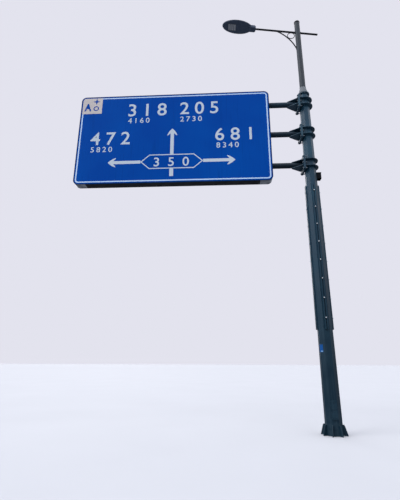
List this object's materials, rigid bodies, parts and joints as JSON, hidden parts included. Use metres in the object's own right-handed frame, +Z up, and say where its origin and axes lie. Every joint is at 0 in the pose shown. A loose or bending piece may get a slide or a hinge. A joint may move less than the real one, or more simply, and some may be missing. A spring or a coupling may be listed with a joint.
{
  "type": "cantilever sign gantry",
  "caption": "Tapered octagonal pole with three clamped arms carrying a wide direction sign over the road, and a lamp mast with one outreach lamp on top.",
  "frame": {"origin": "pole axis at the underside of the base flange", "axes": "+Z up along the pole, -X out along the arms over the road, -Y towards the traffic that reads the sign"},
  "size_m": [6.2251, 0.516, 10.316],
  "materials": {
    "pole_paint": "satin",
    "mast_paint": "satin",
    "bolt_zinc": "satin",
    "box_dark": "satin",
    "cap_dark": "satin",
    "lamp_case": "satin",
    "led_lens": "gloss",
    "sign_blue": "satin",
    "frame_alu": "satin",
    "corner_alu": "satin",
    "rail_alu": "satin",
    "strap_zinc": "satin"
  },
  "bodies": {
    "root": {"base_flange": "pole_paint", "base_gussets": "pole_paint", "pole_shaft": "pole_paint", "access_cover": "pole_paint", "slot_rail_front": "pole_paint", "slot_rail_right": "pole_paint", "slot_rail_back": "pole_paint", "slot_rail_left": "pole_paint", "rail_bolts": "bolt_zinc", "side_box": "box_dark", "side_box_lid": "box_dark", "pole_bracket_upper": "pole_paint", "pole_bracket_middle": "pole_paint", "pole_bracket_lower": "pole_paint", "arm_end_plate_upper": "pole_paint", "arm_end_plate_middle": "pole_paint", "arm_end_plate_lower": "pole_paint", "arm_upper": "pole_paint", "arm_middle": "pole_paint", "arm_lower": "pole_paint", "bracket_bolts": "bolt_zinc", "arm_end_caps": "pole_paint", "pole_top_flange": "pole_paint", "reducer_flange": "mast_paint", "top_flange_bolts": "bolt_zinc", "reducer_cone": "mast_paint", "lamp_mast": "mast_paint", "mast_cap": "cap_dark", "lamp_arm": "pole_paint", "lamp_stub": "pole_paint", "lamp_arm_brace": "pole_paint", "lamp_arm_scroll": "pole_paint", "lamp_body": "lamp_case", "lamp_cover": "lamp_case", "led_panel": "led_lens", "lamp_socket": "lamp_case", "sign_face": "sign_blue", "sign_frame_bottom": "frame_alu", "sign_frame_top": "frame_alu", "sign_frame_left": "frame_alu", "sign_frame_right": "frame_alu", "sign_corner_plates": "corner_alu", "sign_back_rails": "rail_alu", "sign_straps": "strap_zinc"}
  },
  "joints": []
}
